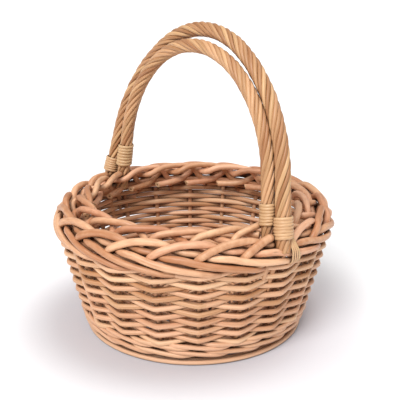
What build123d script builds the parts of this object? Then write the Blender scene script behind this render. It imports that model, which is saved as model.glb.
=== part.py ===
"""Round willow market basket with a fixed double bow handle.

Millimetres, +Z up. The origin is on the ground under the middle of the basket, and the handle
hoops stand over the X axis. The woven rounds are plain rings of the true outer shape, with the
stakes, sticks and handle ends running through them in fitted channels.
"""

import os
from collections import namedtuple
from math import cos, radians, sin, tan

from build123d import *

# overall sizes
RIM_R = 150.0          # outer edge of the border
RIM_TOP = 141.5        # top of the border above the ground
EDGE_R = 106.0         # inner edge of the border
FOOT_R = 118.2         # outside of the basket at the ground
FLARE = 0.2515         # how far the wall leans out for each millimetre up
WALL = 15.5            # thickness of the woven wall

# heights of the rounds, from the ground up
FOOT_H = 5.0
WALE_TOP = 22.0
WEAVE_TOP = 108.0
WEAVE_BANDS = 6

# stakes and base
STAKES = 20
STAKE_D = 5.5
STAKE_TURN = -4.4      # degrees from +X to the first stake, which stands beside a handle leg
STAKE_TOP = 119.0
LEG_STAKE_TOP = 106.0  # the two stakes that the handle legs stand beside
STAKE_BEND = 12.0      # bending radius where a stake turns up at the edge of the base
STAKE_FOOT = 22.0      # length of a stake's foot lying in the base
BASE_Z = 8.0           # mid height of the base
BASE_T = 11.0
BASE_R = 103.0
SLATH_R = 24.0         # where the base weave begins
SPLIT_D = 7.6          # sticks with slits
THROUGH_D = 5.0        # sticks pushed through the slits
STICK_BEND_X = 20.0    # where the sticks bend out to their own headings
STICK_BEND = 15.0      # and the radius they bend to

# handle hoops, each in a plane of its own through its two legs
Hoop = namedtuple("Hoop", "right left tilt lean shoulder apex rope foot corner tails binds")
LEG_Z = 141.5          # height at which the legs' places are given
KNEE_Z = 188.0         # where the straight legs end and the bend begins
OUTER = Hoop(
    right=(138.3, -13.4),      # where the legs stand, each beside a stake
    left=(-139.7, -3.5),
    tilt=8.5,                  # degrees the hoop leans towards +Y
    lean=10.9,                 # degrees its legs lean in as they rise
    shoulder=57.4,             # heading, from upright, where its two bending radii meet
    apex=171.1,                # rise of its centre line above the legs' places
    rope=14.0,
    foot=129.0,                # where the rope round the bow ends, inside the border
    corner=127.0,              # where the bare bow turns down into the weave
    tails=((128.1, -9.5, 70.0), (128.1, 184.5, 70.0)),    # radius, heading, height of its ends
    binds=(132.0, 138.0),      # underside of the right and left bindings
)
INNER = Hoop(
    right=(121.1, -15.1),
    left=(-120.3, -1.8),
    tilt=4.5,
    lean=7.2,
    shoulder=51.6,
    apex=154.5,
    rope=13.0,
    foot=129.0,
    corner=127.0,
    tails=((131.6, -13.2, 84.0), (131.6, 179.2, 84.0)),
    binds=(143.5, 148.0),
)
BOW_D = 8.0
TAIL_BEND = 20.0
TAIL_RUN = 8.0         # straight leg kept above the corner for the tail's bend
BIND_T = 1.3
BIND_H = 19.0
LASH_W = 8.0
LASH_T = 1.3
LASH_HEADINGS = {"right": -2.6, "left": 179.0}

# border, as radius and height corners of its three rolls, with the butts under its inner edge
ROLLS = {
    "border_outer": [(143, 108), (145.4, 108), (RIM_R, 112.5), (RIM_R, 119), (146.5, 126)],
    "border_middle": [(129.9, 108), (143, 108), (146.5, 126), (138, 138), (132, RIM_TOP),
                      (112.5, RIM_TOP), (112.5, 126.06), (122, 122.5)],
    "border_inner": [(112.5, 126.06), (112.5, RIM_TOP), (110, RIM_TOP), (EDGE_R, 138),
                     (EDGE_R, 131), (110, 127)],
}
ROLL_ROUNDING = 1.0
BUTT_D = 7.5
BUTT_FREE = (118, 0, 114)      # free end of a butt, and how far it stands past its stake
BUTT_FREE_TURN = 2.5
BUTT_HELD = (129, 0, 123)      # end held under the border, short of the stake
BUTT_HELD_TURN = -8

# inner side of a lashing, as radius and height, lying on the outside of the border
LASHED = [(146.0, 127.4), (147.2, 126.4), (RIM_R + 0.2, 119.4), (RIM_R + 0.2, 112.2),
          (145.6, 107.8)]

os.makedirs("parts", exist_ok=True)


def save(piece, node):
    """Label a finished piece and write it."""
    piece.part.label = node
    export_step(piece.part, f"parts/{node}.step")


def outside(z):
    """Outer radius of the wall at a height."""
    return FOOT_R + FLARE * z


def stake_line(z):
    """Radius of the stakes' own line at a height."""
    return outside(z) - WALL / 2


def spin_to(degrees):
    """Upright plane through the basket's axis, with its x along that heading."""
    heading = (cos(radians(degrees)), sin(radians(degrees)), 0)
    normal = (sin(radians(degrees)), -cos(radians(degrees)), 0)
    return Plane(origin=(0, 0, 0), x_dir=heading, z_dir=normal)


def rod(path, diameter):
    """Sweep a round rod along a path inside a part."""
    with BuildSketch(Plane(origin=path @ 0, z_dir=path % 0)) as section:
        Circle(diameter / 2)
    sweep(section.sketch, path=path)


# stakes: a foot lying in the base, a bend at its edge and a straight run up the wall
stake_angles = [STAKE_TURN + 360 / STAKES * k for k in range(STAKES)]
stakes = []
for k, angle in enumerate(stake_angles):
    top = LEG_STAKE_TOP if k % (STAKES // 2) == 0 else STAKE_TOP
    with BuildPart() as stake:
        with BuildLine(spin_to(angle)) as run:
            FilletPolyline(
                (BASE_R - STAKE_FOOT, BASE_Z),
                (stake_line(BASE_Z), BASE_Z),
                (stake_line(top), top),
                radius=STAKE_BEND,
            )
        rod(run.wires()[0], STAKE_D)
    stakes.append(stake)
for number, stake in enumerate(stakes, start=1):
    save(stake, f"stake_{number:02d}")

# base sticks: three with slits run one way, and two pushed through them run across
spoke = 360 / STAKES * 2
first_spoke = STAKE_TURN + spoke / 4
through_sticks = []
split_sticks = []


def fan_stick(axis, turn, offset, diameter):
    """One stick, straight through the middle and bent out to its own heading at both ends."""
    far = (BASE_R * cos(radians(turn)), BASE_R * sin(radians(turn)))
    level = Plane(origin=(0, 0, BASE_Z), x_dir=(cos(radians(axis)), sin(radians(axis)), 0))
    with BuildLine(level) as run:
        if offset:
            near = (STICK_BEND_X, offset)
            FilletPolyline((-far[0], far[1]), (-near[0], near[1]), near, far, radius=STICK_BEND)
        else:
            Line((-BASE_R, 0), (BASE_R, 0))
    rod(run.wires()[0], diameter)


through_axis = first_spoke - spoke / 2
for side in (-1, 1):
    with BuildPart() as stick:
        fan_stick(through_axis, side * spoke / 2, side * (THROUGH_D - 0.5), THROUGH_D)
    through_sticks.append(stick)
split_axis = through_axis + 90
for side in (-1, 0, 1):
    with BuildPart() as stick:
        fan_stick(split_axis, side * spoke, side * (SPLIT_D + 0.4), SPLIT_D)
        for other in through_sticks:
            add(other.part, mode=Mode.SUBTRACT)
    split_sticks.append(stick)
base_sticks = split_sticks + through_sticks
for number, stick in enumerate(base_sticks, start=1):
    save(stick, f"base_stick_{number}")

# base weave: a flat disc of rounds, with the sticks and the stakes' feet running inside it
with BuildPart() as base_weave:
    with BuildSketch(Plane.XY.offset(BASE_Z - BASE_T / 2)):
        Circle(BASE_R)
        Circle(SLATH_R, mode=Mode.SUBTRACT)
    extrude(amount=BASE_T)
    fillet(base_weave.edges().filter_by(GeomType.CIRCLE).group_by(SortBy.RADIUS)[0], radius=3)
    for piece in base_sticks + stakes:
        add(piece.part, mode=Mode.SUBTRACT)
save(base_weave, "base_weave")

# foot rod: laid round the bottom edge, worn flat underneath, where the basket stands
with BuildPart() as foot_rod:
    with BuildSketch(Plane.XZ) as section:
        with Locations((outside(0) - 6, FOOT_H / 2)):
            Rectangle(12, FOOT_H)
        fillet(section.vertices().group_by(Axis.X)[-1], radius=2.3)
    revolve(axis=Axis.Z)
save(foot_rod, "foot_rod")


# handle hoops
def hoop_plane(hoop):
    """Leaning plane of a hoop, its origin midway between the legs, with half their spacing."""
    right, left = Vector(*hoop.right, LEG_Z), Vector(*hoop.left, LEG_Z)
    across = (right - left).normalized()
    back = Vector(0, 0, 1).cross(across)
    upward = Vector(0, 0, cos(radians(hoop.tilt))) + back * sin(radians(hoop.tilt))
    plane = Plane(origin=(right + left) / 2, x_dir=across, z_dir=across.cross(upward))
    return plane, (right - left).length / 2


def leg_place(hoop, side, z):
    """Where a leg's centre line stands at a height."""
    plane, half = hoop_plane(hoop)
    rise = (z - LEG_Z) / cos(radians(hoop.tilt))
    return plane.from_local_coords((side * (half - rise * tan(radians(hoop.lean))), rise, 0))


def hoop_line(hoop, foot):
    """Centre line from a height on one leg, over the top, to the same height on the other."""
    plane, half = hoop_plane(hoop)
    lean, shoulder = radians(hoop.lean), radians(hoop.shoulder)
    rise = (foot - LEG_Z) / cos(radians(hoop.tilt))
    knee = (half - (KNEE_Z - LEG_Z) * tan(lean), KNEE_Z - LEG_Z)
    # side and top bending radii that carry the leg over to the middle at the apex
    a, b = cos(lean) - cos(shoulder), cos(shoulder)
    c, d = sin(shoulder) - sin(lean), 1 - sin(shoulder)
    climb = hoop.apex - knee[1]
    side_r = (knee[0] * d - b * climb) / (a * d - b * c)
    top_r = (a * climb - c * knee[0]) / (a * d - b * c)
    with BuildLine(plane) as run:
        leg = Line((half - rise * tan(lean), rise), knee)
        side = JernArc(leg @ 1, leg % 1, side_r, hoop.shoulder - hoop.lean)
        JernArc(side @ 1, side % 1, top_r, 90 - hoop.shoulder)
        mirror(about=Plane(origin=plane.origin, z_dir=plane.x_dir))
    return run.wires()[0]


def bow_line(hoop):
    """Centre line of a bow with both tails, which turn down along the leaning stakes."""
    edges = list(hoop_line(hoop, hoop.corner + TAIL_RUN).edges())
    for side, (radius, heading, low) in zip((1, -1), hoop.tails):
        end = Vector(radius, 0, low).rotate(Axis.Z, heading)
        with BuildLine() as tail:
            FilletPolyline(
                end,
                leg_place(hoop, side, hoop.corner),
                leg_place(hoop, side, hoop.corner + TAIL_RUN),
                radius=TAIL_BEND,
            )
        edges += tail.edges()
    return Wire(edges)


hoops = {"outer": OUTER, "inner": INNER}
bows, ropes, sleeves = [], [], []
for word, hoop in hoops.items():
    with BuildPart() as bow:
        rod(bow_line(hoop), BOW_D)
    save(bow, f"handle_bow_{word}")
    bows.append(bow)
    with BuildPart() as rope:
        rod(hoop_line(hoop, hoop.foot), hoop.rope)
        add(bow.part, mode=Mode.SUBTRACT)
    save(rope, f"handle_rope_{word}")
    ropes.append(rope)

# leg bindings: skein wound round the foot of each rope
for word, hoop in hoops.items():
    for side_word, side, bottom in zip(("right", "left"), (1, -1), hoop.binds):
        low, high = leg_place(hoop, side, bottom), leg_place(hoop, side, KNEE_Z)
        with BuildPart() as sleeve:
            with BuildSketch(Plane(origin=low, z_dir=high - low)):
                Circle(hoop.rope / 2 + BIND_T)
                Circle(hoop.rope / 2, mode=Mode.SUBTRACT)
            extrude(amount=BIND_H)
        save(sleeve, f"binding_{word}_{side_word}")
        sleeves.append(sleeve)

# border: three rolls side by side, the handle legs standing in them
legs = bows + ropes

# butts: trimmed ends of the border rods, one just past each stake, under the inner edge;
# the two stakes beside the handle have the inner bow's ends there instead
butts = []
for k, angle in enumerate(stake_angles):
    if k % (STAKES // 2) == 0:
        continue
    free = Vector(*BUTT_FREE).rotate(Axis.Z, angle + BUTT_FREE_TURN)
    held = Vector(*BUTT_HELD).rotate(Axis.Z, angle + BUTT_HELD_TURN)
    with BuildPart() as butt:
        with BuildSketch(Plane(origin=free, z_dir=held - free)):
            Circle(BUTT_D / 2)
        extrude(amount=(held - free).length)
    butts.append(butt)

for node, corners in ROLLS.items():
    with BuildPart() as roll:
        with BuildSketch(Plane.XZ) as section:
            with BuildLine():
                Polyline(*corners, close=True)
            make_face()
            fillet(section.vertices(), radius=ROLL_ROUNDING)
        revolve(axis=Axis.Z)
        if node != "border_outer":
            for piece in legs + stakes + butts:
                add(piece.part, mode=Mode.SUBTRACT)
        if node == "border_middle":
            for piece in sleeves:
                add(piece.part, mode=Mode.SUBTRACT)
    save(roll, node)

# wall: bottom wale and bands of weaving, each a leaning ring with channels for what runs in it
band_h = (WEAVE_TOP - WALE_TOP) / WEAVE_BANDS
bands = {"bottom_wale": (FOOT_H, WALE_TOP)}
for k in range(WEAVE_BANDS):
    bands[f"side_weave_{k + 1}"] = (WALE_TOP + k * band_h, WALE_TOP + (k + 1) * band_h)
for node, (low, high) in bands.items():
    with BuildPart() as band:
        with BuildSketch(Plane.XZ):
            with BuildLine():
                Polyline(
                    (outside(low) - WALL, low),
                    (outside(low), low),
                    (outside(high), high),
                    (outside(high) - WALL, high),
                    close=True,
                )
            make_face()
        revolve(axis=Axis.Z)
        for piece in stakes + bows:
            add(piece.part, mode=Mode.SUBTRACT)
        if high == WEAVE_TOP:
            for piece in butts:
                add(piece.part, mode=Mode.SUBTRACT)
    save(band, node)

with BuildPart() as border_butts:
    for butt in butts:
        add(butt.part)
save(border_butts, "border_butts")

# lashings: skein from the outer leg bindings, down over the outer edge of the border
for word, heading in LASH_HEADINGS.items():
    with BuildPart() as lashing:
        with BuildSketch(Plane.XZ):
            with BuildLine():
                Polyline(*LASHED)
                offset(amount=LASH_T, side=Side.LEFT)
            make_face()
        extrude(amount=LASH_W / 2, both=True)
    lashing.part = lashing.part.rotate(Axis.Z, heading)
    save(lashing, f"lashing_{word}")
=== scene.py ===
import random
from collections import namedtuple
from math import asin, atan2, cos, degrees, pi, radians, sin, tan

import bmesh
import bpy
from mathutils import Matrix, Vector, noise


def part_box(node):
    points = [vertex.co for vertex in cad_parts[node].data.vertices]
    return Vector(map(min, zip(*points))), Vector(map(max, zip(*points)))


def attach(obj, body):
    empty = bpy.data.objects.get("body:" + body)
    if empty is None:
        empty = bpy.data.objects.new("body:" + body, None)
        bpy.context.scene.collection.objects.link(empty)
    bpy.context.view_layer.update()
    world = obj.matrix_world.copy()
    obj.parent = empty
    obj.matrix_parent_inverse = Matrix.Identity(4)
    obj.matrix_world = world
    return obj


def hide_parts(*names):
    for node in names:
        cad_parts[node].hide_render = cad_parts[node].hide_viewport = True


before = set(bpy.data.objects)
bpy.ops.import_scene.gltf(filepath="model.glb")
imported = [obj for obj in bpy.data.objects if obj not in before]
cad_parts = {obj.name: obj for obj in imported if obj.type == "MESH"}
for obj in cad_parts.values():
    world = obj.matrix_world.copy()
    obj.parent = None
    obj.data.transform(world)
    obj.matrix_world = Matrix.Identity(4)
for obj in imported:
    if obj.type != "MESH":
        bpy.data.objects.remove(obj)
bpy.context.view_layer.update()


# ---------------------------------------------------------------------------------------------
# Base sticks: five thick willow rods. Two are pushed through slits in the other three at the
# middle, and all are fanned out to ten spoke ends under the weaving.

def lay(bm, points, radii, look, closed=False, smooth=3, around=3, cut=None):
    """Adds one round rod to a piece: through points, as thick as radii, coloured by look."""
    curve = bpy.data.curves.new("rod", "CURVE")
    curve.dimensions = "3D"
    curve.bevel_depth = 1
    curve.bevel_resolution = around
    curve.resolution_u = smooth
    curve.use_fill_caps = not closed
    spline = curve.splines.new("BEZIER")
    spline.bezier_points.add(len(points) - 1)
    spline.use_cyclic_u = closed
    for bead, point, radius in zip(spline.bezier_points, points, radii):
        bead.co = point
        bead.radius = radius
        bead.handle_left_type = "AUTO"
        bead.handle_right_type = "AUTO"
    mesh = bpy.data.meshes.new_from_object(bpy.data.objects.new("rod", curve))
    rod = bmesh.new()
    rod.from_mesh(mesh)
    bmesh.ops.remove_doubles(rod, verts=rod.verts, dist=1e-6)
    if cut:
        everything = rod.verts[:] + rod.edges[:] + rod.faces[:]
        bmesh.ops.bisect_plane(
            rod, geom=everything, plane_co=cut[0], plane_no=cut[1], clear_outer=True
        )
        open_edges = [edge for edge in rod.edges if edge.is_boundary]
        bmesh.ops.holes_fill(rod, edges=open_edges, sides=0)
    length = sum((b - a).length for a, b in zip(points, points[1:]))
    uv = rod.loops.layers.uv.active
    colour = rod.verts.layers.float_color.new("rod")
    pith = rod.verts.layers.float.new("pith")
    ends = [face for face in rod.faces if len(face.verts) > 4]
    for face in rod.faces:
        face.smooth = True
        for loop in face.loops:
            loop[uv].uv.y *= length
    for face in ends:
        face.material_index = 1
        for edge in face.edges:
            edge.smooth = False
    middles = bmesh.ops.poke(rod, faces=ends)["verts"]
    for vert in rod.verts:
        vert[colour] = (*look, 1)
        vert[pith] = 0
    for vert in middles:
        vert[pith] = 1
    rod.to_mesh(mesh)
    rod.free()
    bm.from_mesh(mesh)


def piece(bm, name, *materials):
    """Turns a filled bmesh into a named piece at the origin."""
    mesh = bpy.data.meshes.new(name)
    bm.to_mesh(mesh)
    bm.free()
    for material in materials:
        mesh.materials.append(material)
    thing = bpy.data.objects.new(name, mesh)
    bpy.context.scene.collection.objects.link(thing)
    return thing


def add_node(tree, kind, inputs=(), **settings):
    """One shader node, its inputs given as values or as the sockets that feed them."""
    made = tree.nodes.new(kind)
    for key, value in settings.items():
        setattr(made, key, value)
    for key, value in dict(inputs).items():
        if isinstance(value, bpy.types.NodeSocket):
            tree.links.new(value, made.inputs[key])
        else:
            made.inputs[key].default_value = value
    return made


def sums(tree, operation, a, b=0.0, c=0.0):
    """A maths node's result."""
    return add_node(tree, "ShaderNodeMath", {0: a, 1: b, 2: c}, operation=operation).outputs[0]


def spread(tree, value, low, high, to_low=0.0, to_high=1.0):
    """value from low to high, laid out evenly from to_low to to_high and held there outside."""
    inputs = {"Value": value, 1: low, 2: high, 3: to_low, 4: to_high}
    return add_node(tree, "ShaderNodeMapRange", inputs, interpolation_type="SMOOTHSTEP").outputs[0]


def blend(tree, amount, a, b, mode="MIX"):
    """Two colours mixed."""
    inputs = {0: amount, 6: a, 7: b}
    made = add_node(tree, "ShaderNodeMix", inputs, data_type="RGBA", blend_type=mode)
    return made.outputs[2]


def rgb(red, green, blue):
    """A colour picked on a 0 to 255 display scale, as the linear values that shaders take."""
    parts = []
    for part in (red, green, blue):
        part /= 255
        parts.append(part / 12.92 if part <= 0.04045 else ((part + 0.055) / 1.055) ** 2.4)
    return (*parts, 1.0)


def rod_grain_and_shade():
    """Node group for peeled willow: colour with painted crevice shade, roughness and height along
    each rod.
    """
    tree = bpy.data.node_groups.new("willow_grain_and_shade", "ShaderNodeTree")
    for name in ("Pale", "Deep"):
        tree.interface.new_socket(name, in_out="INPUT", socket_type="NodeSocketColor")
    tree.interface.new_socket("Color", in_out="OUTPUT", socket_type="NodeSocketColor")
    tree.interface.new_socket("Roughness", in_out="OUTPUT", socket_type="NodeSocketFloat")
    tree.interface.new_socket("Height", in_out="OUTPUT", socket_type="NodeSocketFloat")
    given = add_node(tree, "NodeGroupInput")
    rod = add_node(tree, "ShaderNodeAttribute", attribute_name="rod")
    split = add_node(tree, "ShaderNodeSeparateColor", {0: rod.outputs["Color"]})
    tone, warmth, seed = split.outputs[0], split.outputs[1], split.outputs[2]
    where = add_node(tree, "ShaderNodeUVMap", uv_map="UVMap")
    flat = add_node(tree, "ShaderNodeSeparateXYZ", {0: where.outputs[0]})
    turn = sums(tree, "MULTIPLY", flat.outputs[0], 2 * pi)
    east = sums(tree, "COSINE", turn)
    north = sums(tree, "SINE", turn)
    shift = sums(tree, "MULTIPLY", seed, 83.0)

    def marks(stretch, scale, detail, kind="ShaderNodeTexNoise"):
        along = sums(tree, "MULTIPLY", flat.outputs[1], stretch)
        spot = add_node(tree, "ShaderNodeCombineXYZ", {0: east, 1: north, 2: along})
        inputs = {"Vector": spot.outputs[0], "W": shift, "Scale": scale}
        if kind == "ShaderNodeTexNoise":
            inputs["Detail"] = detail
            made = add_node(tree, kind, inputs, noise_dimensions="4D")
        else:
            made = add_node(tree, kind, inputs, voronoi_dimensions="4D")
        return made.outputs[0]

    streaks = marks(7.0, 5.0, 4.0)
    blotches = marks(30.0, 1.1, 3.0)
    drift = marks(6.0, 0.6, 1.0)
    knots = spread(tree, marks(26.0, 1.0, 0.0, "ShaderNodeTexVoronoi"), 0.04, 0.13, 1.0, 0.0)
    light = sums(tree, "MULTIPLY_ADD", sums(tree, "SUBTRACT", streaks, 0.5), 0.9, tone)
    light = sums(tree, "MULTIPLY_ADD", sums(tree, "SUBTRACT", blotches, 0.5), 0.8, light)
    light = sums(tree, "MULTIPLY_ADD", sums(tree, "SUBTRACT", drift, 0.5), 0.8, light)
    light = spread(tree, light, -0.1, 1.1)
    wood = blend(tree, light, given.outputs["Deep"], given.outputs["Pale"])
    pink = blend(tree, 1.0, wood, rgb(255, 238, 226), "MULTIPLY")
    straw = blend(tree, 1.0, wood, rgb(254, 248, 230), "MULTIPLY")
    wood = blend(tree, warmth, straw, pink)
    stain = spread(tree, marks(14.0, 0.9, 2.0), 0.62, 0.78)
    wood = blend(tree, sums(tree, "MULTIPLY", stain, 0.45), wood, rgb(150, 96, 60))
    wood = blend(tree, sums(tree, "MULTIPLY", knots, 0.75), wood, rgb(96, 58, 36))
    # painted shade: an ambient-occlusion mask turns the colour deep brown in crevices and gaps
    # between rods, where little light reaches
    crevice_shade_probe = add_node(tree, "ShaderNodeAmbientOcclusion", {"Distance": 0.013}, samples=8)
    painted_crevice_shade = spread(tree, crevice_shade_probe.outputs["AO"], 0.08, 0.60, 0.9, 0.0)
    wood = blend(tree, painted_crevice_shade, wood, rgb(88, 46, 22))
    rough = spread(tree, streaks, 0.3, 0.7, 0.42, 0.60)
    height = sums(tree, "MULTIPLY_ADD", streaks, 0.35, sums(tree, "MULTIPLY", blotches, 0.5))
    height = sums(tree, "MULTIPLY_ADD", knots, 0.35, height)
    add_node(tree, "NodeGroupOutput", {"Color": wood, "Roughness": rough, "Height": height})
    return tree


grain_and_shade = rod_grain_and_shade()


def willow(name, pale, deep, coat=0.12):
    """Material of the long sides of peeled willow rods."""
    material = bpy.data.materials.new(name)
    material.use_nodes = True
    tree = material.node_tree
    shader = tree.nodes["Principled BSDF"]
    group = add_node(tree, "ShaderNodeGroup", node_tree=grain_and_shade)
    group.inputs["Pale"].default_value = pale
    group.inputs["Deep"].default_value = deep
    bump = add_node(
        tree,
        "ShaderNodeBump",
        {"Height": group.outputs["Height"], "Strength": 0.5, "Distance": 0.0006},
    )
    tree.links.new(group.outputs["Color"], shader.inputs["Base Color"])
    tree.links.new(group.outputs["Roughness"], shader.inputs["Roughness"])
    tree.links.new(bump.outputs[0], shader.inputs["Normal"])
    shader.inputs["Coat Weight"].default_value = coat
    shader.inputs["Coat Roughness"].default_value = 0.32
    return material


def cut_end():
    """Material of cut rod ends: cream wood with a brown pith in the middle."""
    material = bpy.data.materials.new("cut_end")
    material.use_nodes = True
    tree = material.node_tree
    shader = tree.nodes["Principled BSDF"]
    middle = add_node(tree, "ShaderNodeAttribute", attribute_name="pith")
    core = spread(tree, middle.outputs["Fac"], 0.62, 0.78)
    rim = spread(tree, middle.outputs["Fac"], 0.0, 0.16, 1.0, 0.0)
    spot = add_node(tree, "ShaderNodeTexCoord").outputs["Object"]
    fibre = add_node(tree, "ShaderNodeTexNoise", {"Vector": spot, "Scale": 1800.0, "Detail": 2.0})
    wood = blend(tree, fibre.outputs[0], rgb(214, 172, 128), rgb(242, 208, 166))
    wood = blend(tree, sums(tree, "MULTIPLY", rim, 0.5), wood, rgb(168, 112, 72))
    wood = blend(tree, core, wood, rgb(120, 72, 44))
    tree.links.new(wood, shader.inputs["Base Color"])
    shader.inputs["Roughness"].default_value = 0.75
    return material


ends_wood = cut_end()
stick_wood = willow("stick_willow", rgb(226, 190, 158), rgb(186, 136, 100))
chance = random.Random(11)


def look(dark=0.0, spread_by=0.22):
    """One rod's own tone, warmth and seed."""
    tone = 0.5 - dark + chance.uniform(-spread_by, spread_by)
    return (tone, chance.uniform(0.1, 1.0), chance.random())


def ring(radius, angle, height):
    """Point at a radius, a heading in degrees and a height."""
    return Vector((radius * cos(radians(angle)), radius * sin(radians(angle)), height))


base_low, base_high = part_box("base_weave")
base_z = (base_low[2] + base_high[2]) / 2
base_r = base_high[0]
stake_low, stake_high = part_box("stake_01")
first_stake = degrees(atan2(stake_low[1] + stake_high[1], stake_low[0] + stake_high[0]))
stake_step = 18.0
slath = 0.017                  # half of the square block where the sticks cross
fan_from = 0.018               # where the sticks start to spread
through_axis = first_stake - stake_step / 2
for number in range(1, 6):
    split = number < 4
    axis = through_axis + (90 if split else 0)
    side = (number - 2) if split else (number - 4.5) * 2
    turn = side * (36 if split else 18)
    offset = side * (0.0080 if split else 0.0045)
    thick = 0.0038 if split else 0.0026
    run = []
    for reach in (-1.0, -0.82, -0.5, -0.24, -0.12, 0.12, 0.24, 0.5, 0.82, 1.0):
        away = abs(reach) * base_r
        end = 1 if reach > 0 else -1
        fan = max(0.0, (away - fan_from) / (base_r - fan_from))
        sideways = offset + fan * (base_r * sin(radians(turn)) - offset)
        along = away
        if away > fan_from:
            along = fan_from + fan * (base_r * cos(radians(turn)) - fan_from)
        flat = Vector((end * along, sideways, 0))
        heading = radians(axis)
        spot = Vector(
            (
                flat.x * cos(heading) - flat.y * sin(heading),
                flat.x * sin(heading) + flat.y * cos(heading),
                base_z,
            )
        )
        run.append((spot, thick if away < 0.03 else min(thick, 0.0028)))
    bm = bmesh.new()
    lay(bm, [spot for spot, _ in run], [radius for _, radius in run], look(0.1))
    stick = piece(bm, f"spoke_rod_{number}", stick_wood, ends_wood)
    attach(stick, "root")
    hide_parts(f"base_stick_{number}")


# ---------------------------------------------------------------------------------------------
# Base weave: thin weavers worked over and under the ten spokes, out from the slath to the
# stakes, in two rounds that chase each other.

weaver_wood = willow("weaver_willow", rgb(242, 208, 178), rgb(188, 136, 98))
bm = bmesh.new()
round_pitch = 0.0033
fine_r = 0.00155               # the weavers used for the base
over_stick = 0.0042            # how far they pass above and below the middle of the sticks
turns = (base_r - 0.0010 - slath) / round_pitch / 2
for weaver in (0, 1):
    points = []
    radii = []
    steps = int(turns * 20 * 2)
    for step in range(steps + 1):
        angle = first_stake + stake_step / 2 + step * 9
        wave = cos(pi * (step / 4 - 0.5 + weaver))
        radius = slath + 0.002 + round_pitch * (weaver + 2 * step / 40)
        radius += 0.0003 * noise.noise(Vector((step * 0.3, weaver * 9, 0)))
        points.append(ring(radius, angle, base_z + wave * over_stick))
        radii.append(fine_r + 0.0002 * noise.noise(Vector((step * 0.05, weaver, 5))))
        if len(points) == 46 or step == steps:
            lay(bm, points, radii, look(0.08), smooth=2, around=2)
            points = points[-2:]
            radii = radii[-2:]
base = piece(bm, "base_rounds", weaver_wood, ends_wood)
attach(base, "root")
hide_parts("base_weave")


# ---------------------------------------------------------------------------------------------
# Side stakes: twenty rods pushed in beside the spoke ends, bent up at the edge of the base and
# standing inside the weave up to the border.

wall_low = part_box("bottom_wale")[1]
wall_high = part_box("side_weave_6")[1]
weave_top = wall_high[2]
wale_top = wall_low[2]
flare = (wall_high[0] - wall_low[0]) / (weave_top - wale_top)
stake_r = 0.0029
weaver_r = 0.00268
weave_depth = 0.0075           # from the outside of the wall to the middle of the stakes


def stake_line(height):
    """Radius of the stakes' line in the middle of the leaning wall."""
    return wall_low[0] + flare * (height - wale_top) - weave_depth


stake_top = stake_high[2]
stake_names = [f"stake_{number:02d}" for number in range(1, 21)]
for number, name in enumerate(stake_names):
    angle = first_stake + stake_step * number
    lean = chance.uniform(-0.5, 0.5)
    points = [ring(base_r - 0.022, angle, base_z)]
    points += [ring(base_r - 0.006, angle, base_z), ring(base_r + 0.0035, angle, base_z + 0.0012)]
    points.append(ring(stake_line(0.013) - 0.0005, angle, 0.0145))
    for height in (0.024, 0.05, 0.08, 0.105, stake_top):
        points.append(ring(stake_line(height), angle + lean * (height - 0.02) * 8, height))
    radii = [0.0029 - 0.00005 * step for step in range(len(points))]
    bm = bmesh.new()
    lay(bm, points, radii, look(0.0), smooth=4)
    stake = piece(bm, f"upright_{number + 1:02d}", stick_wood, ends_wood)
    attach(stake, "root")
    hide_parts(name)


# ---------------------------------------------------------------------------------------------
# Foot rod: one long rod laid round the bottom edge and once more inside itself, which the
# basket stands on.

foot_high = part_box("foot_rod")[1]
foot_thick = 0.0026
points = []
for step in range(81):
    angle = 150 + step * 9
    inward = min(1.0, max(0.0, (step - 37) / 4))
    radius = foot_high[0] - foot_thick - inward * (2 * foot_thick)
    radius += 0.0002 * noise.noise(Vector((step * 0.4, 3, 1)))
    points.append(ring(radius, angle, foot_thick + 0.0001 * sin(step)))
radii = [foot_thick - 0.000004 * step for step in range(81)]
bm = bmesh.new()
lay(bm, points, radii, look(0.0), smooth=3)
foot = piece(bm, "edge_rod", weaver_wood, ends_wood)
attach(foot, "root")
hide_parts("foot_rod")


# ---------------------------------------------------------------------------------------------
# Bottom wale: three weavers worked together, each over two stakes and behind one, climbing
# two rounds above the foot rod.

wale_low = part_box("bottom_wale")[0][2]
bm = bmesh.new()
wale_r = 0.00245
first_turn = 0.0042            # middle of the first strand above the foot rod
step_up = 0.0021               # how far a strand climbs behind a stake
bowed_out = 0.0052             # how far it bows outside and inside the stakes
wale_rise = (wale_top - wale_low) / 2
for strand in range(3):
    points = []
    radii = []
    steps = 20 * 6 * 2 + 6
    for step in range(steps + 1):
        stakes_on = step / 6
        angle = first_stake + stake_step * (stakes_on + strand + 6)
        phase = 2 * pi * stakes_on / 3
        height = wale_low + first_turn + wale_rise * stakes_on / 20 - step_up * sin(phase)
        over = max(-1.0, min(1.0, 1.5 * cos(phase) + 0.5))
        height += 0.0004 * noise.noise(Vector((step * 0.1, strand, 7)))
        points.append(ring(stake_line(height) + bowed_out * over, angle, height))
        radii.append(wale_r + 0.0002 * noise.noise(Vector((step * 0.04, strand, 2))))
        if len(points) == 132 or step == steps:
            lay(bm, points, radii, look(0.0), smooth=2)
            points = points[-4:]
            radii = radii[-4:]
wale = piece(bm, "wale_rounds", weaver_wood, ends_wood)
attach(wale, "root")
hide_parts("bottom_wale")


# ---------------------------------------------------------------------------------------------
# Side weave: two weavers chase each other up the wall, each in front of one stake and behind
# the next. Rods taper from butt to tip and a new butt is laid in behind a stake.

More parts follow.
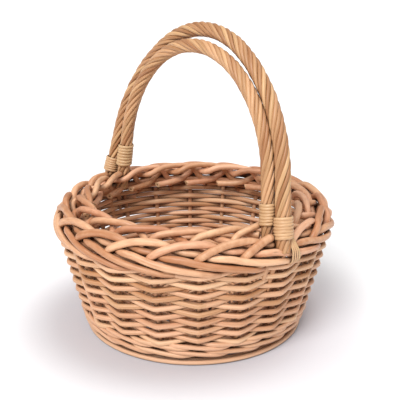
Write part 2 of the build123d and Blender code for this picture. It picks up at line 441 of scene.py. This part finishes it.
rows = 17
row_pitch = (weave_top - wale_top) / (rows - 0.3)
bands = [bmesh.new() for _ in range(6)]
band_names = [f"side_weave_{number}" for number in range(1, 7)]
kinks = (0.0, 0.05, 0.3, 0.5, 0.7, 0.95)
sharp = 0.985                  # just under 1: straight between stakes, bent sharply at each
dip = 0.0017                   # a weaver dips this far outside a stake and rises inside it
tucked = 0.0040                # how far a new butt lies in behind its stake
for weaver in (0, 1):
    begin = weaver * 10
    total = int(20 * rows / 2)
    done = 0
    while done < total:
        count = min(total - done, 2 * chance.randint(11, 14))
        if total - done - count < 8:
            count = total - done
        points = []
        radii = []
        heights = []
        own = look(0.0, 0.32)
        bulge = chance.uniform(-0.0002, 0.0003)
        stops = [done + whole + part for whole in range(count) for part in kinks]
        stops.append(done + count)
        stops = [done - 0.35] + stops + [done + count + 0.35]
        for stop in stops:
            angle = first_stake + stake_step * (stop + begin)
            inside = cos(pi * (stop + weaver + begin))
            wave = asin(sharp * inside) / asin(sharp)
            height = wale_top + row_pitch * (0.35 + 2 * stop / 20)
            turn = radians(angle)
            sway = noise.noise(Vector((1.3 * cos(turn), 1.3 * sin(turn), height * 14)))
            ripple = noise.noise(Vector((3.5 * cos(turn), 3.5 * sin(turn), height * 60 + 40)))
            height += 0.0014 * sway + 0.0006 * ripple - dip * wave
            gone = (stop - done) / count
            thick = weaver_r * (1.08 - 0.16 * max(0.0, min(1.0, gone)))
            reach = (stake_r + weaver_r + bulge) * wave * 1.02
            laid_in = max(0.0, 1 - (stop - done + 0.35) / 0.6)
            reach -= tucked * laid_in
            points.append(ring(stake_line(height) + reach, angle, height))
            radii.append(thick)
            heights.append(height)
        level = sum(heights) / len(heights)
        band = int((level - wale_top) / (weave_top - wale_top) * 6)
        lay(bands[max(0, min(5, band))], points, radii, own, smooth=2)
        done += count
for number, (bm, name) in enumerate(zip(bands, band_names), start=1):
    weave = piece(bm, f"wall_rounds_{number}", weaver_wood, ends_wood)
    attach(weave, "root")
    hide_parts(name)


# ---------------------------------------------------------------------------------------------
# Outer border rods: twenty thick rods that rise beside the stakes, cross the top of the border
# and sweep down round its outer edge, each passing under the next ones.

rim_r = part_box("border_outer")[1][0]
rim_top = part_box("border_middle")[1][2]

# how a hoop stands: lean of its plane towards the back, lean of its legs inwards, heading where
# its two bending radii meet, radius of its rope, and headings that its buried ends run to
Hoop = namedtuple("Hoop", "tilt lean shoulder girth tails")
hoops = {
    "outer": Hoop(radians(8.5), radians(10.9), radians(57.4), 0.0070, (-9.5, 184.5)),
    "inner": Hoop(radians(4.5), radians(7.2), radians(51.6), 0.0065, (-13.2, 179.2)),
}


def stand(word):
    """How a hoop stands: its directions across and up, and its legs' feet and ways upward."""
    hoop = hoops[word]
    spots = []
    for side_word in ("right", "left"):
        low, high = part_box(f"binding_{word}_{side_word}")
        spots.append((Vector(low) + Vector(high)) / 2)
    across = (spots[0] - spots[1]) * Vector((1, 1, 0))
    across.normalize()
    back = Vector((0, 0, 1)).cross(across)
    upward = Vector((0, 0, cos(hoop.tilt))) + back * sin(hoop.tilt)
    feet = []
    for side, spot in zip((1, -1), spots):
        way = upward * cos(hoop.lean) - across * side * sin(hoop.lean)
        feet.append((spot + way * ((rim_top - spot.z) / way.z), way))
    return across, upward, feet


legs = [(foot, way, hoops[word].girth) for word in hoops for foot, way in stand(word)[2]]
rope_end = 0.129               # where the legs end inside the border


def clear_runs(points, radii):
    """Splits a border rod where a handle leg stands in its way, so that it ends against it."""
    runs = [([], [])]
    for point, radius in zip(points, radii):
        blocked = False
        for foot, way, girth in legs:
            middle = foot + way * ((point.z - foot.z) / way.z)
            near = (point - middle).xy.length < girth + 0.55 * radius
            blocked = blocked or (near and point.z > rope_end - 0.004)
        if blocked:
            if runs[-1][0]:
                runs.append(([], []))
        else:
            runs[-1][0].append(point)
            runs[-1][1].append(radius)
    return [run for run in runs if len(run[0]) > 3]


def through(spots, amount):
    """Point, or thickness, at 0 to 1 along a smooth line through spots."""
    place = amount * (len(spots) - 1)
    first = min(int(place), len(spots) - 2)
    t = place - first
    p1, p2 = spots[first], spots[first + 1]
    p0 = spots[first - 1] if first else p1 * 2 - p2
    p3 = spots[first + 2] if first + 2 < len(spots) else p2 * 2 - p1
    a = 2 * p1
    b = p2 - p0
    c = 2 * p0 - 5 * p1 + 4 * p2 - p3
    d = 3 * p1 - p0 - 3 * p2 + p3
    return (a + b * t + c * t * t + d * t * t * t) * 0.5


border_wood = willow("border_willow", rgb(240, 199, 168), rgb(184, 128, 92), 0.18)
# headings in stakes past the rod's own, then in millimetres how far in from the rim's edge and
# how far below its top
outer_run = [
    (-0.45, 20.0, 28.5), (-0.25, 14.5, 28.5), (-0.10, 10.7, 24.0), (0.0, 8.8, 18.7),
    (0.12, 8.4, 14.7), (0.3, 10.6, 11.3), (0.6, 13.3, 7.9), (0.95, 14.3, 6.9),
    (1.2, 15.0, 8.5), (1.5, 16.6, 14.7), (1.7, 14.4, 15.9), (1.9, 14.6, 16.7),
    (2.05, 14.4, 18.1), (2.25, 10.6, 19.5), (2.45, 7.4, 18.9), (2.65, 6.2, 19.5),
    (2.9, 5.0, 22.1), (3.2, 4.2, 25.1), (3.55, 4.3, 27.9), (3.9, 5.2, 30.5),
    (4.2, 7.6, 33.4), (4.4, 11.2, 35.4), (4.6, 15.5, 36.6),
]
hidden_rods = ((16.5, 23.5), (22.5, 23.0), (11.5, 25.0))
wander = 0.0005                # how far a border rod strays from its even path
fine = 96                      # steps along a rod where it is cut clear of the handle
bm = bmesh.new()
for number in range(20):
    own = look(0.0, 0.34)
    thick = chance.uniform(0.0035, 0.0039)
    points = []
    radii = []
    jitter = [chance.uniform(-1, 1) for _ in range(4)]
    for stakes_on, inset, drop in outer_run:
        angle = first_stake + stake_step * (number + stakes_on)
        sway = sin(stakes_on * 1.7 + number)
        radius = rim_r - inset / 1000 + wander * sway * jitter[0]
        height = rim_top - drop / 1000 + wander * cos(stakes_on * 2.1 + number) * jitter[1]
        tip = 0.8 if stakes_on > 4.3 else 1.0
        points.append(ring(radius, angle, height))
        radii.append(thick * (1.04 - 0.045 * stakes_on) * tip)
    line = [through(points, step / fine) for step in range(fine + 1)]
    thickness = [through(radii, step / fine) for step in range(fine + 1)]
    for run in clear_runs(line, thickness):
        lay(bm, *run, own, smooth=1, around=4)
# the folded stakes under the border, out of sight, as three plain rings
for inset, drop in hidden_rods:
    points = [ring(rim_r - inset / 1000, 15 * step, rim_top - drop / 1000) for step in range(24)]
    lay(bm, points, [0.0032] * 24, look(0.2), closed=True)
outer = piece(bm, "rim_rods_outer", border_wood, ends_wood)
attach(outer, "root")
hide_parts("border_outer", "border_middle")


# ---------------------------------------------------------------------------------------------
# Inner border rods: twenty more rods that cross over the inner edge of the border, pass under
# two others and are cut off slantwise inside, under the edge.

inner_run = [
    (-0.25, 21.5, 24.0), (-0.12, 24.0, 18.0), (-0.03, 26.0, 12.0), (0.06, 27.4, 7.4),
    (0.2, 29.0, 4.6), (0.45, 31.6, 2.9), (0.75, 34.6, 2.2), (1.05, 37.6, 2.6),
    (1.3, 39.6, 4.6), (1.48, 39.4, 7.8), (1.62, 36.8, 10.0), (1.75, 31.8, 10.4),
    (1.85, 26.8, 10.6), (1.95, 22.6, 11.4), (2.05, 20.6, 13.2), (2.15, 20.6, 16.0),
    (2.28, 22.8, 19.2), (2.42, 27.2, 21.2), (2.6, 31.0, 22.4), (2.8, 33.2, 23.2),
    (3.0, 34.0, 24.0), (3.25, 34.4, 24.8), (3.4, 34.6, 25.4),
]
bm = bmesh.new()
for number in range(20):
    own = look(-0.02, 0.34)
    thick = chance.uniform(0.0032, 0.0037)
    points = []
    jitter = [chance.uniform(-1, 1) for _ in range(4)]
    for stakes_on, inset, drop in inner_run:
        angle = first_stake + stake_step * (number - 0.15 + stakes_on)
        radius = rim_r - inset / 1000 + wander * sin(stakes_on * 1.9 + number) * jitter[0]
        height = rim_top - drop / 1000 + wander * cos(stakes_on * 2.3 + number) * jitter[1]
        points.append(ring(radius, angle, height))
    heading = (points[-1] - points[-3]).normalized()
    facing = heading - points[-1].normalized() * 0.7 + Vector((0, 0, 0.35 + 0.2 * jitter[2]))
    trimmed = points[-2] + heading * 0.0015 * jitter[3]
    line = [through(points, step / fine) for step in range(fine + 1)]
    runs = clear_runs(line, [thick] * len(line))
    for run in runs[:-1]:
        lay(bm, *run, own, smooth=1, around=4)
    lay(bm, *runs[-1], own, smooth=1, around=4, cut=(trimmed, facing.normalized()))
inner = piece(bm, "rim_rods_inner", border_wood, ends_wood)
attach(inner, "root")
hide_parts("border_inner", "border_butts")


# ---------------------------------------------------------------------------------------------
# Handle bows: two stiff rods bent to nested hoops. Their ends are pointed and pushed down into
# the weave beside a stake; over the basket the rope hides them.

def hoop_line(word, low):
    """Centre line of a hoop from left to right leg, as points with their outward sides."""
    tilt, lean, shoulder, girth, _ = hoops[word]
    across, upward, feet = stand(word)
    origin = (feet[0][0] + feet[1][0]) / 2
    half_span = (feet[0][0] - feet[1][0]).length / 2
    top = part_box(f"handle_rope_{word}")[1][2]
    apex = (top - girth - rim_top) / cos(tilt)
    knee = 0.0465              # the legs are straight up to here above the border
    knee_x = half_span - knee * tan(lean)
    a, b = cos(lean) - cos(shoulder), cos(shoulder)
    c, d = sin(shoulder) - sin(lean), 1 - sin(shoulder)
    side_r = (knee_x * d - b * (apex - knee)) / (a * d - b * c)
    top_r = (a * (apex - knee) - c * knee_x) / (a * d - b * c)
    half = []
    start = (low - rim_top) / cos(tilt)
    for part in range(10):
        rise = start + (knee - start) * part / 10
        half.append((half_span - rise * tan(lean), rise, lean))
    for part in range(12):
        turn = lean + (shoulder - lean) * part / 12
        away = knee_x + side_r * (cos(turn) - cos(lean))
        half.append((away, knee + side_r * (sin(turn) - sin(lean)), turn))
    corner_x = knee_x + side_r * (cos(shoulder) - cos(lean))
    corner_z = knee + side_r * (sin(shoulder) - sin(lean))
    for part in range(11):
        turn = shoulder + (pi / 2 - shoulder) * part / 10
        away = corner_x + top_r * (cos(turn) - cos(shoulder))
        half.append((away, corner_z + top_r * (sin(turn) - sin(shoulder)), turn))
    line = []
    for away, rise, turn in half[:-1]:
        outward = upward * sin(turn) - across * cos(turn)
        line.append((origin - across * away + upward * rise, outward))
    for away, rise, turn in reversed(half):
        outward = upward * sin(turn) + across * cos(turn)
        line.append((origin + across * away + upward * rise, outward))
    return line


for word, hoop in hoops.items():
    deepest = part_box(f"handle_bow_{word}")[0][2] + 0.001
    spots = [spot for spot, _ in hoop_line(word, rope_end)]
    ends = []
    for heading in hoop.tails:
        ends.append([ring(stake_line(level), heading, level) for level in (deepest, 0.105)])
    points = ends[1] + spots + ends[0][::-1]
    radii = [0.0012, 0.0036] + [0.0039] * len(spots) + [0.0036, 0.0012]
    bm = bmesh.new()
    lay(bm, points, radii, look(0.05), smooth=3)
    bow = piece(bm, f"bow_{word}", stick_wood, ends_wood)
    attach(bow, "root")
    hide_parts(f"handle_bow_{word}")


# ---------------------------------------------------------------------------------------------
# Handle ropes: a bundle of thin rods twisted round each bow from foot to foot.

handle_wood = willow("handle_willow", rgb(220, 182, 142), rgb(162, 113, 74), 0.2)
strands = 8
buried = 0.010                 # how far the rods run on below the legs, into the border
one_turn = 0.098               # length in which a rod goes once round
drawn_in = 0.030               # how much shorter that is just past the top of the hoop
for word, hoop in hoops.items():
    line = hoop_line(word, rope_end - buried)
    bm = bmesh.new()
    offset = chance.random()
    for strand in range(strands):
        thick = chance.uniform(0.0020, 0.0024)
        phase = 2 * pi * (strand + offset) / strands
        points = []
        radii = []
        walked = 0.0
        dense = []
        for (here, out_here), (there, out_there) in zip(line, line[1:]):
            for part in range(3):
                amount = part / 3
                dense.append((here.lerp(there, amount), out_here.lerp(out_there, amount)))
        dense.append(line[-1])
        for number, (spot, outward) in enumerate(dense):
            before = dense[max(0, number - 1)][0]
            after = dense[min(len(dense) - 1, number + 1)][0]
            forward = (after - before).normalized()
            outward = (outward - forward * outward.dot(forward)).normalized()
            sideways = forward.cross(outward)
            if number:
                step = (spot - dense[number - 1][0]).length
                along = number / len(dense)
                pitch = one_turn - drawn_in * max(0.0, 1 - abs(along - 0.62) / 0.25)
                phase += 2 * pi * step / pitch
                walked += step
            wobble = 0.0002 * noise.noise(Vector((walked * 25, strand * 7, hoop.tilt * 40)))
            distance = hoop.girth - thick + 0.0007 + 2 * wobble
            swing = phase + 0.10 * noise.noise(Vector((walked * 12, strand * 3, 20)))
            points.append(spot + (outward * cos(swing) + sideways * sin(swing)) * distance)
            radii.append(thick)
        lay(bm, points, radii, look(0.0, 0.4), smooth=3)
    rope = piece(bm, f"rope_{word}", handle_wood, ends_wood)
    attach(rope, "root")
    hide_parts(f"handle_rope_{word}")


# ---------------------------------------------------------------------------------------------
# Leg bindings: pale split skein, flat on one side and crowned on the other, wound six or seven
# times round the foot of each leg.

skein_wood = willow("skein", rgb(224, 195, 156), rgb(186, 148, 107), 0.3)


def strip(bm, lengthways, place, own):
    """Adds one flat strip: place gives the point at 0 to 1 along and -1 to 1 across it."""
    part = bmesh.new()
    uv = part.loops.layers.uv.new("UVMap")
    colour = part.verts.layers.float_color.new("rod")
    grid = bmesh.ops.create_grid(part, x_segments=lengthways, y_segments=4, size=0.5)
    spots = {vert: (vert.co.x + 0.5, vert.co.y * 2) for vert in grid["verts"]}
    middle = [place(step / 60, 0.0) for step in range(61)]
    length = sum((b - a).length for a, b in zip(middle, middle[1:]))
    for vert, (along, across) in spots.items():
        vert.co = place(along, across)
        vert[colour] = (*own, 1)
    for face in part.faces:
        face.smooth = True
        for loop in face.loops:
            along, across = spots[loop.vert]
            loop[uv].uv = (0.25 + across * 0.2, along * length)
    mesh = bpy.data.meshes.new("strip")
    part.to_mesh(mesh)
    part.free()
    bm.from_mesh(mesh)


def thicken(thing, amount):
    """Gives a piece made of strips its thickness, outwards from the laid surface."""
    solid = thing.modifiers.new("thickness", "SOLIDIFY")
    solid.thickness = amount
    solid.offset = 1.0
    soft = thing.modifiers.new("worn edges", "BEVEL")
    soft.width = amount * 0.3
    soft.segments = 2
    soft.limit_method = "ANGLE"


skein_thick = 0.0007
# how far above its lowest point each binding starts, how tall it is, how often it goes round
wound_up = {
    "outer_right": (0.0012, 0.0230, 7), "outer_left": (0.0002, 0.0190, 6),
    "inner_right": (-0.0026, 0.0232, 7), "inner_left": (-0.0004, 0.0276, 7),
}
for word, hoop in hoops.items():
    for side_word, side, (foot, up) in zip(("right", "left"), (1, -1), stand(word)[2]):
        name = f"binding_{word}_{side_word}"
        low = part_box(name)[0]
        sunk, tall, wraps = wound_up[f"{word}_{side_word}"]
        start = foot + up * ((low[2] + sunk - foot.z) / up.z)
        east = up.cross(Vector((0, 1, 0))).normalized()
        north = up.cross(east)
        pitch = tall / (wraps + 0.9)
        wide = pitch * 0.88
        turned = chance.uniform(0, 6)

        def wound(along, across, start=start, up=up, east=east, north=north, turned=turned,
                  wraps=wraps, pitch=pitch, wide=wide, side=side, girth=hoop.girth):
            angle = turned + 2 * pi * wraps * along
            lift = pitch * wraps * along + wide * (0.5 + 0.5 * across)
            lift += 0.0006 * noise.noise(Vector((angle * 0.9, wraps, side)))
            out = girth + 0.0008 + 0.0003 * noise.noise(Vector((angle * 0.7, side, 9)))
            out += 0.0009 * (1 - across * across) + 0.0005 * (1 - along)
            return start + up * lift + (east * cos(angle) + north * sin(angle)) * out

        bm = bmesh.new()
        strip(bm, wraps * 36, wound, look(-0.1, 0.12))
        wrap = piece(bm, f"skein_{word}_{side_word}", skein_wood)
        thicken(wrap, skein_thick)
        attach(wrap, "root")
        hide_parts(name)


# ---------------------------------------------------------------------------------------------
# Lashings: four strands of skein from each outer leg binding, fanned down over the outer edge
# of the border and tucked into the weave under it.

# in millimetres, how far in from the rim's edge and how far below its top the strands lie
lash_run = [(6.0, 8.0), (3.8, 12.0), (1.2, 16.5), (-0.6, 20.5), (-1.0, 25.0), (-0.2, 30.0),
            (3.4, 34.0), (10.0, 37.0)]
lash_half = 0.00120            # half the width of a strand
for side_word, side, heading in (("right", 1, -3.6), ("left", -1, 180.2)):
    bm = bmesh.new()
    for strand in range(4):
        spots = []
        for number, (inset, drop) in enumerate(lash_run):
            fan = 0.0013 + 0.0016 * min(1.0, number / 4)
            sideways = (strand - 1.5) * fan + 0.0004 * number * side
            turn = heading + degrees(sideways / rim_r)
            spots.append(ring(rim_r - inset / 1000, turn, rim_top - drop / 1000))

        def laid(along, across, spots=spots, side=side):
            middle = through(spots, along)
            crown = 0.0006 * (1 - across * across)
            outward = Vector((middle.x, middle.y, 0)).normalized()
            return middle + Vector((0, -side * lash_half * across, 0)) + outward * crown

        strip(bm, 40, laid, look(-0.1, 0.12))
    lash = piece(bm, f"lash_{side_word}", skein_wood)
    thicken(lash, skein_thick)
    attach(lash, "root")
    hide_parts(f"lashing_{side_word}")


# ---------------------------------------------------------------------------------------------
# Floor and light: a matt white floor with a lilac painted shadow round the basket, under a
# bright sky, a broad light from the front and a softer one from above.

bm = bmesh.new()
bmesh.ops.create_grid(bm, x_segments=1, y_segments=1, size=15)
paper = bpy.data.materials.new("floor_paper")
paper.use_nodes = True
paint = paper.node_tree
spot = add_node(paint, "ShaderNodeTexCoord").outputs["Object"]
away = add_node(paint, "ShaderNodeVectorMath", {0: spot}, operation="LENGTH").outputs["Value"]
# painted shadow: the floor turns darker and lilac close round the basket, where its shadow falls
painted_floor_shadow = blend(paint, spread(paint, away, 0.11, 0.25), (0.66, 0.655, 0.70, 1), (0.94, 0.94, 0.95, 1))
paint.links.new(painted_floor_shadow, paint.nodes["Principled BSDF"].inputs["Base Color"])
paint.nodes["Principled BSDF"].inputs["Roughness"].default_value = 0.9
paint.nodes["Principled BSDF"].inputs["Specular IOR Level"].default_value = 0.0
floor = piece(bm, "floor", paper)

world = bpy.data.worlds.new("studio")
bpy.context.scene.world = world
world.use_nodes = True
sky = world.node_tree
sky.nodes["Background"].inputs["Strength"].default_value = 0.42
sky.nodes["Background"].inputs["Color"].default_value = (1.0, 1.0, 1.0, 1)
bright = add_node(sky, "ShaderNodeBackground", {"Color": (1, 1, 1, 1), "Strength": 1.05})
seen = add_node(sky, "ShaderNodeLightPath").outputs["Is Camera Ray"]
both = add_node(sky, "ShaderNodeMixShader", {0: seen})
sky.links.new(sky.nodes["Background"].outputs[0], both.inputs[1])
sky.links.new(bright.outputs[0], both.inputs[2])
sky.links.new(both.outputs[0], sky.nodes["World Output"].inputs["Surface"])


def sun(name, heading, height, strength, softness):
    """A soft light from far off, shining at the middle of the basket from a heading."""
    light = bpy.data.lights.new(name, "SUN")
    light.energy = strength
    light.angle = radians(softness)
    lamp = bpy.data.objects.new(name, light)
    lamp.rotation_euler = (radians(90 - height), 0, radians(heading + 90))
    bpy.context.scene.collection.objects.link(lamp)


sun("key", -68, 44, 2.5, 30)
sun("top", 60, 76, 1.0, 30)


# ---------------------------------------------------------------------------------------------
# Camera: a little above the border, looking down at the basket between the front and the
# right leg of the handle.

eye = bpy.data.cameras.new("camera")
eye.lens = 69.65
eye.sensor_width = 36
eye.shift_x = 0.0158
camera = bpy.data.objects.new("camera", eye)
camera.location = (0.5801, -0.5316, 0.3920)
camera.rotation_euler = (radians(90 - 18.25), 0, radians(47.5))
bpy.context.scene.collection.objects.link(camera)
bpy.context.scene.camera = camera
bpy.context.scene.view_settings.view_transform = "Standard"
